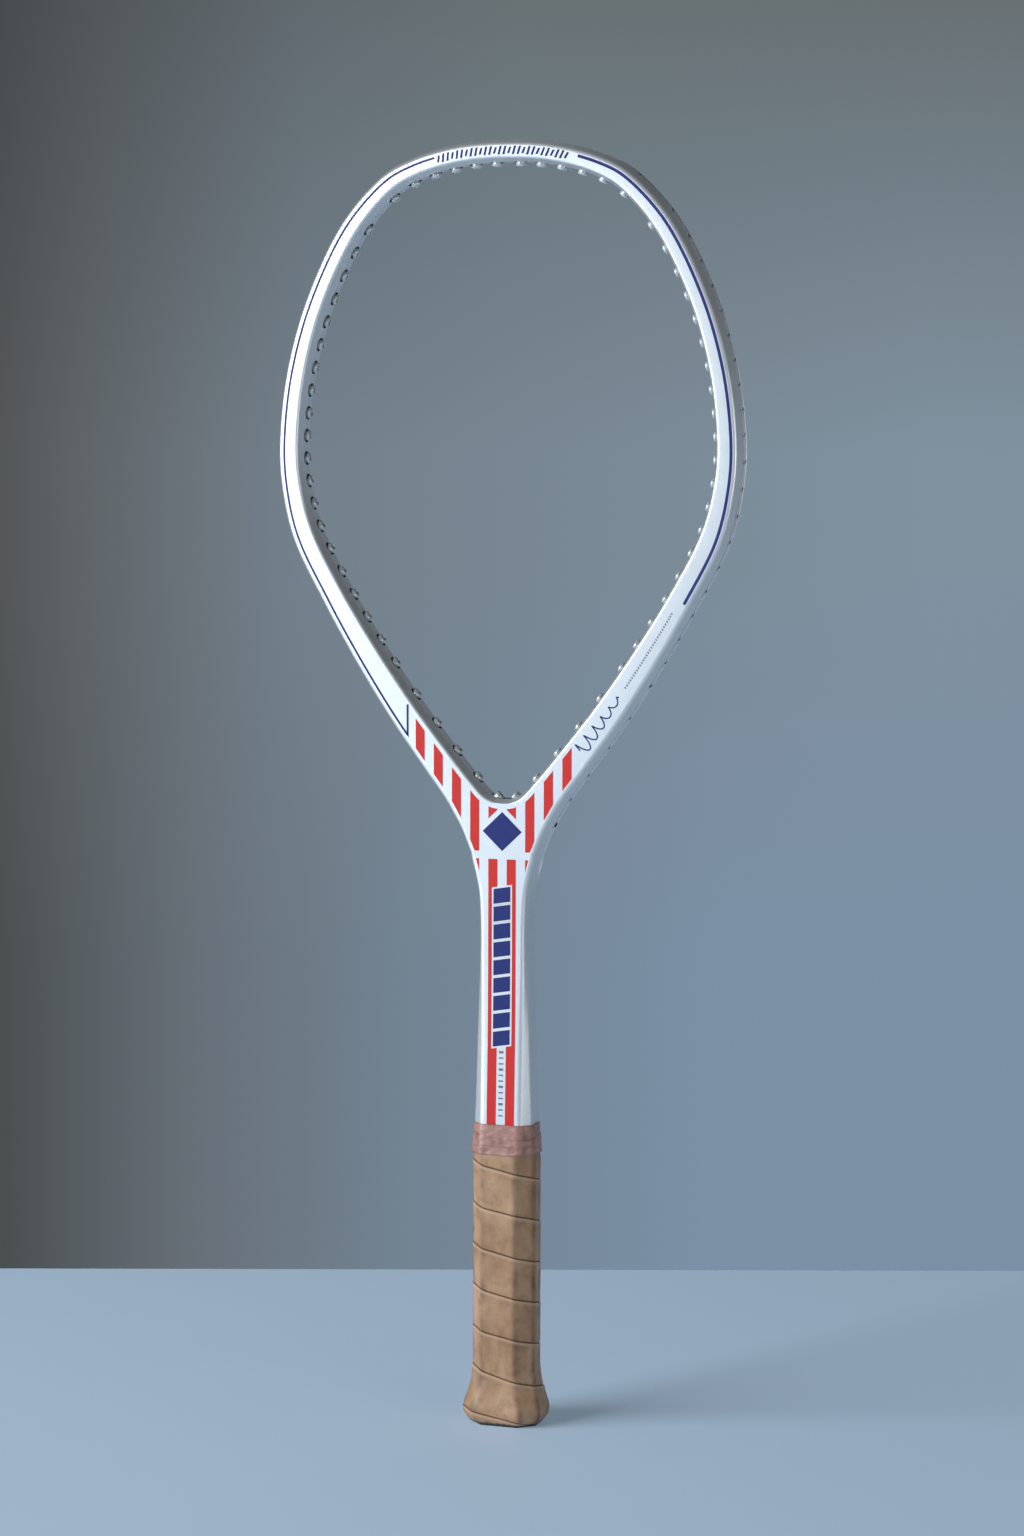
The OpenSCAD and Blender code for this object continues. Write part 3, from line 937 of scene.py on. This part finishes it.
def octagon(half_w, half_d, cut_x, cut_y, radius=EDGE_R):
    """Rounded octagon as evenly spaced points, and their outward normals."""
    w, d = half_w, half_d
    corners = [[w, d - cut_y], [w - cut_x, d], [cut_x - w, d], [-w, d - cut_y],
               [-w, cut_y - d], [cut_x - w, -d], [w - cut_x, -d], [w, cut_y - d]]
    ring = rounded(corners, [radius] * 8, 5)
    ring = np.concatenate([ring, ring[:1]])
    gone = lengths(ring)
    at = np.linspace(0, gone[-1], SECTION_POINTS, endpoint=False)
    points = np.stack([np.interp(at, gone, ring[:, k]) for k in (0, 1)], -1)
    along = np.roll(points, -1, 0) - np.roll(points, 1, 0)
    normals = np.stack([along[:, 1], -along[:, 0]], -1)
    return points, normals / np.linalg.norm(normals, axis=1)[:, None]


def corner_strength(points, half_w, half_d, cut_x, cut_y):
    """1 at the octagon's corners and 0 on its flats."""
    corners = np.array([[sx * a, sy * b] for sx in (1, -1) for sy in (1, -1)
                        for a, b in ((half_w, half_d - cut_y), (half_w - cut_x, half_d))])
    near = np.linalg.norm(points[:, None] - corners[None], axis=2).min(1)
    return np.exp(-(near / 2.0) ** 2)


def level(z, levels):
    """Half width and half depth at height z, with the kinks between levels smoothed."""
    reach = min(1.6, max(z - levels[0][0], 0.01), max(levels[-1][0] - z, 0.01))
    heights = z + reach * np.linspace(-1, 1, 7)
    return [float(np.interp(heights, [l[0] for l in levels], [l[k] for l in levels]).mean())
            for k in (1, 2)]


def bell(distance, width):
    return math.exp(-(distance / width) ** 2)


def ripple(point, size, depth, seed=0.0):
    return depth * noise.noise(Vector(point) / size + Vector((seed, seed, seed)))


def closing_faces(pairs, size=SECTION_POINTS):
    """Quads between two rings, for each pair of the rings' first points."""
    turn = np.arange(size)
    ahead = (turn + 1) % size
    quads = [np.stack([a + turn, a + ahead, b + ahead, b + turn], -1) for a, b in pairs]
    return np.concatenate(quads).tolist()


# Rows of height, half width and half depth. The leather's top and the cap inside it keep the
# CAD part's sizes; in the photo the rubber ends a little above the edge of its CAD node.
CUT_X, CUT_Y = 8.4, 7.8
BUTT_W, BUTT_D = in_mm("leather_grip")[1][:2]
GRIP_W, GRIP_D = 17.75, 13.45
COLLAR_LOW = in_mm("grip_collar")[0][2] + 2.3
LEATHER_LOW, LEATHER_HIGH = in_mm("leather_grip")[0][2], in_mm("leather_grip")[1][2] + 2
LEATHER_T = 1.6
LEATHER_LEVELS = [[LEATHER_LOW, BUTT_W - 3.0, BUTT_D - 3.0], [4, BUTT_W - 0.9, BUTT_D - 0.9],
                  [8, BUTT_W - 0.4, BUTT_D - 0.4], [11, BUTT_W - 0.7, BUTT_D - 0.7],
                  [16, 20.3, 15.5], [22, 18.7, 14.1], [32, GRIP_W, GRIP_D],
                  [COLLAR_LOW - 1, GRIP_W, GRIP_D], [COLLAR_LOW, GRIP_W - 0.6, GRIP_D - 0.6],
                  [LEATHER_HIGH, GRIP_W - 0.7, GRIP_D - 0.7]]
LINING_LEVELS = [[LEATHER_LOW, BUTT_W - 2.4, BUTT_D - 2.4], [4, BUTT_W, BUTT_D],
                 [7, BUTT_W - 0.2, BUTT_D - 0.3], [14, 20.2, 15.4], [22, 18.4, 13.9],
                 [32, 17.6, GRIP_D], [LEATHER_HIGH, 17.6, GRIP_D]]
LINING_EDGE_R = 3

# The leather is one strip wound in a helix that drops to the right across the front. Below
# each seam the strip's edge stands proud, and the seam itself is a narrow crease.
TURN = 22.5
SEAM_TOP = 178.1  # height of the first seam on the +X side
TURNS = 8
BELOW_SEAM = [0, 0.18, 0.36, 0.6, 0.9, 1.3, 1.8, 2.4, 3.2, 4.3, 5.8, 7.8, 10, 12.5, 15,
              17.2, 19, 20.3, 21.2, 21.7, 22.05, 22.3]
PER_TURN = len(BELOW_SEAM)
EDGE_HEIGHT = 0.42
CREASE_DEPTH = 0.38
FOOT_FADE = 2.0  # the relief fades out over this height above the lower edge
DARK_FOOT = 0.9  # height of the dark line along the lower edge


def seam_height(below):
    """How far the leather stands out at a distance below the seam, in millimetres."""
    above = TURN - below
    edge = EDGE_HEIGHT * math.exp(-below / 2.6) * (1 - math.exp(-below / 0.22))
    crease = CREASE_DEPTH * (bell(below, 0.3) + bell(above, 0.3))
    return edge - crease - 0.10 * math.exp(-above / 1.0)


def seam_stray(turns):
    """How far a seam strays up or down after that many turns, in millimetres."""
    return 1.1 * noise.noise(Vector((turns * 3.1, 0.4, 0.7)))


@functools.lru_cache(maxsize=None)
def leather_section(z):
    ring, normals = octagon(*level(z, LEATHER_LEVELS), CUT_X, CUT_Y)
    return ring, normals, corner_strength(ring, *level(z, LEATHER_LEVELS), CUT_X, CUT_Y)


def leather_point(row, i):
    """Point of the wound strip's outer side, and its crease, corner and burnish values."""
    below = BELOW_SEAM[row % PER_TURN]
    turns = row // PER_TURN + i / SECTION_POINTS
    share = below / TURN
    z = SEAM_TOP - TURN * turns - below
    z += seam_stray(turns) * (1 - share) + seam_stray(turns + 1) * share
    inside = LEATHER_LOW < z < LEATHER_HIGH
    z = min(max(z, LEATHER_LOW), LEATHER_HIGH)
    ring, normals, corners = leather_section(round(z, 1))
    out = crease = corner = burnish = 0.0
    if inside:
        here = (*ring[i], z)
        out = seam_height(below) + ripple(here, 9, 0.22) + ripple(here, 3.5, 0.07, 5)
        out *= min(1.0, (z - LEATHER_LOW) / FOOT_FADE)
        # The crease value paints shade into the seam above and the seam below.
        crease = bell(below, 0.32) + bell(TURN - below, 0.4)
        corner = corners[i]
        burnish = bell(below - 1.0, 0.8)
    if z < LEATHER_LOW + DARK_FOOT:
        crease = 1.0
    return [*(ring[i] + normals[i] * out), z, crease, corner, burnish]


def helix_faces(rows):
    """Quads of the wound strip; each row's end meets the row one turn further down."""
    n = SECTION_POINTS
    faces = []
    for r in range(rows - 1):
        a, b = r * n, (r + 1) * n
        faces += [[a + i, b + i, b + i + 1, a + i + 1] for i in range(n - 1)]
        turned = [min(r + PER_TURN + k, rows - 1) * n for k in (1, 0)]
        faces.append([a + n - 1, b + n - 1, *turned])
    return faces


def leather_grip():
    n, rows = SECTION_POINTS, TURNS * PER_TURN
    outer = np.array([leather_point(row, i) for row in range(rows) for i in range(n)])
    lining = []
    for z, w, d in LINING_LEVELS[::-1]:
        ring, _ = octagon(w - LEATHER_T, d - LEATHER_T, CUT_X, CUT_Y, LINING_EDGE_R)
        lining.append(np.column_stack([ring, np.full(n, z), np.zeros((n, 3))]))
    first, last = rows * n, (rows + len(lining) - 1) * n
    points = np.concatenate([outer, *lining])
    faces = helix_faces(rows) + tube_faces(len(lining), n, first)
    faces += closing_faces([(0, first), (first - n, last)])
    values = dict(zip(("crease", "corner", "burnish"), points[:, 3:].T))
    grip = new_mesh("wound_leather", points[:, :3], faces, values)
    placed(shaded(grip, LEATHER, 60, weighted=False), "grip_leather", "leather_grip")


COLLAR_LEVELS = [[COLLAR_LOW, 17.8, 13.6], [149, 17.8, 13.5], [154, 17.7, 12.9],
                 [COLLAR_TOP - 1, 17.4, 12.3], [COLLAR_TOP, 17.1, 12.0]]
COLLAR_T = 0.8
COLLAR_ROWS = 44
COLLAR_CUT = 6.3
COLLAR_IN = 0.15  # the skin lies this far inside the levels
TAPE_EDGE = 158.6  # height of the tape's edge that shows through, and its slant
TAPE_SLANT = 2.6
TAPE_TURN = 0.55
TAPE_STEP = 0.22
FOLD_Z = 152.2  # height of a crease round the sleeve
EDGE_DROP = 0.5  # how far the lower edge wanders


def collar_row(t):
    """Skin and lining of the sleeve at a share of its height, and how dark the skin is painted: shade
    in the fold and at both ends, and darker along the tape's edge.
    """
    z = COLLAR_LOW + t * (COLLAR_TOP - COLLAR_LOW)
    ring, normals = octagon(*level(z, COLLAR_LEVELS), COLLAR_CUT, COLLAR_CUT)
    skin, dark = [], []
    for i, point in enumerate(ring):
        stray = ripple((*point, 0), 12, 1.2, 3)
        slant = math.sin(2 * math.pi * (i / SECTION_POINTS - TAPE_TURN))
        tape = z - (TAPE_EDGE - TAPE_SLANT * slant) - stray * 0.4
        crease = z - FOLD_Z - stray
        out = TAPE_STEP / (1 + math.exp(tape / 0.18)) - 0.12 * bell(crease, 0.5) - COLLAR_IN
        out += ripple((*point, z * 1.7), 4.0, 0.22, 9) + ripple((*point, z * 2.4), 1.8, 0.07, 4)
        out += 0.10 * bell(z - COLLAR_LOW - 0.6, 0.6) + 0.15 * bell(z - COLLAR_TOP, 0.5)
        drop = ripple((*point, 7), 8, EDGE_DROP) * (1 - t) ** 3
        skin.append([*(point + normals[i] * out), z + drop])
        # Darker along the tape's edge, and painted shade in the fold and at the lower and top ends.
        dark.append(0.7 * bell(tape - 0.25, 0.35) + 0.5 * bell(crease, 0.4)
                    + 0.6 * bell(z - COLLAR_LOW, 0.5) + 0.5 * bell(z - COLLAR_TOP, 0.4))
    lining = np.array(skin) - np.column_stack([normals * COLLAR_T, np.zeros(len(ring))])
    return skin, lining, dark


def rubber_collar():
    """Sleeve with the edge of the tape showing through and a crease near its lower edge."""
    n, rows = SECTION_POINTS, COLLAR_ROWS
    skin, lining, dark = (np.array(part) for part in
                          zip(*[collar_row(t) for t in np.linspace(0, 1, rows)]))
    points = np.concatenate([skin.reshape(-1, 3), lining.reshape(-1, 3)])
    under = rows * n
    faces = tube_faces(rows, n) + tube_faces(rows, n, under)
    faces += closing_faces([(0, under), (under - n, 2 * under - n)])
    values = {"crease": np.concatenate([dark.ravel(), np.zeros(under)])}
    collar = new_mesh("rubber_sleeve", points, faces, values)
    placed(shaded(collar, RUBBER, 60, weighted=False), "collar_rubber", "grip_collar")


leather_grip()
rubber_collar()

# ------------------------------ pieces that keep their CAD shape

CAD_FINISHES = {"foam_core": FOAM, "pallet_front": PALLET, "pallet_back": PALLET,
                "adhesive_strips": ADHESIVE, "finishing_tape": TAPE, "butt_cap": BLACK,
                "butt_door": BLACK, "butt_staples": STEEL, "grip_tack": STEEL}
for node, finish in CAD_FINISHES.items():
    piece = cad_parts[node]
    piece.data.materials.clear()
    piece.data.materials.append(finish)

# ------------------------------ camera, stage and light

CAMERA_AT = Vector((0.6444, -1.8544, 0.5349))
CAMERA_TURN = 19.098
CAMERA_DOWN = 5.246
CAMERA_ROLL = 0.137
LENS = 86.72


def turned(degrees, axis):
    return Matrix.Rotation(math.radians(degrees), 4, axis)


def camera():
    data = bpy.data.cameras.new("camera")
    data.lens = LENS
    data.sensor_width = 36.0
    made = bpy.data.objects.new("camera", data)
    made.matrix_world = (Matrix.Translation(CAMERA_AT) @ turned(CAMERA_TURN, "Z")
                         @ turned(90 - CAMERA_DOWN, "X") @ turned(CAMERA_ROLL, "Z"))
    bpy.context.scene.collection.objects.link(made)
    bpy.context.scene.camera = made


def stage_plane(name, half, near, far, material):
    """Flat surface between two edges at [ahead, up], in metres from the camera's foot."""
    foot = Vector((CAMERA_AT.x, CAMERA_AT.y, 0))
    mesh = bpy.data.meshes.new(name)
    corners = [(-half, *near), (half, *near), (half, *far), (-half, *far)]
    turned_corners = [foot + turned(CAMERA_TURN, "Z") @ Vector(c) for c in corners]
    mesh.from_pydata(turned_corners, [], [[0, 1, 2, 3]])
    mesh.materials.append(material)
    made = bpy.data.objects.new(name, mesh)
    bpy.context.scene.collection.objects.link(made)


TABLE_AHEAD = 2.323  # from the camera's foot to the table's far edge
TABLE_BACK = -1.5
TABLE_HALF = 3.0
WALL_AHEAD = 5.0
WALL_HALF = 4.0
WALL_LOW, WALL_HIGH = -2, 4


def table_paint():
    s = Shader("pale_table", 0.6)
    s.colour(s.mix(s.noise(90, 3), (0.57, 0.72, 0.90), (0.59, 0.74, 0.92)))
    s.surface.inputs["Emission Color"].default_value = (0.095, 0.135, 0.175, 1)
    s.surface.inputs["Emission Strength"].default_value = 1.0
    s.bumps((s.noise(1.5, 3), 0.02))
    return s.material


def wall_painted_light():
    """Grey wall that glows with painted light: darker to the left and at the top and bluer to the
    lower right.
    """
    s = Shader("grey_wall", 1.0, Specular_IOR_Level=0)
    mapping = s.node("ShaderNodeMapping", vector_type="TEXTURE")
    mapping.inputs["Location"].default_value = (CAMERA_AT.x, CAMERA_AT.y, 0)
    mapping.inputs["Rotation"].default_value = (0, 0, math.radians(CAMERA_TURN))
    s.plug(s.place, mapping.inputs["Vector"])
    split = s.node("ShaderNodeSeparateXYZ")
    s.plug(mapping.outputs["Vector"], split.inputs["Vector"])
    across = s.math("MULTIPLY_ADD", split.outputs["X"], 0.72, 0.5)
    up = s.math("MULTIPLY_ADD", split.outputs["Z"], 0.5, 0.35)
    low = s.ramp(across, (0.0, (0.07, 0.08, 0.08)), (0.2, (0.14, 0.165, 0.195)),
                 (0.4, (0.17, 0.23, 0.29)), (0.7, (0.20, 0.28, 0.38)))
    middle = s.ramp(across, (0.0, (0.09, 0.095, 0.095)), (0.2, (0.15, 0.18, 0.205)),
                    (0.3, (0.175, 0.22, 0.265)), (0.9, (0.215, 0.285, 0.35)))
    high = s.ramp(across, (0.0, (0.065, 0.07, 0.075)), (0.3, (0.12, 0.145, 0.16)),
                  (0.5, (0.14, 0.17, 0.18)), (0.9, (0.14, 0.165, 0.175)))
    glow = s.mix(s.ramp(up, (0.25, 0.0), (0.52, 1.0)), low, middle)
    glow = s.mix(s.ramp(up, (0.60, 0.0), (0.90, 1.0)), glow, high)
    s.surface.inputs["Base Color"].default_value = (0, 0, 0, 1)
    s.plug(glow, s.surface.inputs["Emission Color"])
    s.surface.inputs["Emission Strength"].default_value = 1.0
    return s.material


def area_light(name, at, target, size, power, colour):
    data = bpy.data.lights.new(name, "AREA")
    data.shape = "RECTANGLE"
    data.size, data.size_y = size
    data.energy = power
    data.color = colour
    made = bpy.data.objects.new(name, data)
    made.location = at
    made.rotation_euler = (Vector(target) - Vector(at)).to_track_quat("-Z", "Y").to_euler()
    made.visible_camera = False
    bpy.context.scene.collection.objects.link(made)


def sky(below, level_with, above):
    """Room that is pale near the floor and dark overhead."""
    world = bpy.data.worlds.new("studio")
    world.use_nodes = True
    tree = world.node_tree
    split = tree.nodes.new("ShaderNodeSeparateXYZ")
    ramp = tree.nodes.new("ShaderNodeValToRGB")
    half = tree.nodes.new("ShaderNodeMath")
    half.operation = "MULTIPLY_ADD"
    half.inputs[1].default_value = half.inputs[2].default_value = 0.5
    stops = ramp.color_ramp.elements
    stops.new(0.5)
    for stop, place, colour in zip(stops, (0.3, 0.5, 0.7), (below, level_with, above)):
        stop.position = place
        stop.color = (*colour, 1)
    direction = tree.nodes.new("ShaderNodeTexCoord").outputs["Generated"]
    tree.links.new(direction, split.inputs["Vector"])
    tree.links.new(split.outputs["Z"], half.inputs[0])
    tree.links.new(half.outputs[0], ramp.inputs["Fac"])
    tree.links.new(ramp.outputs["Color"], tree.nodes["Background"].inputs["Color"])
    bpy.context.scene.world = world


camera()
stage_plane("table", TABLE_HALF, (TABLE_BACK, 0), (TABLE_AHEAD, 0), table_paint())
# Backdrop that glows with painted light.
stage_plane("wall", WALL_HALF, (WALL_AHEAD, WALL_LOW), (WALL_AHEAD, WALL_HIGH), wall_painted_light())
area_light("window", at=(-2.5, -2.3, 1.2), target=(0, 0, 0.3), size=(2.6, 2.0), power=140,
           colour=(0.93, 0.97, 1.0))
area_light("fill", at=(2.6, -1.7, 0.5), target=(0, 0, 0.3), size=(1.4, 0.9), power=14,
           colour=(1.0, 0.95, 0.88))
sky(below=(0.30, 0.34, 0.38), level_with=(0.20, 0.24, 0.28), above=(0.05, 0.05, 0.05))
bpy.context.scene.view_settings.view_transform = "Standard"
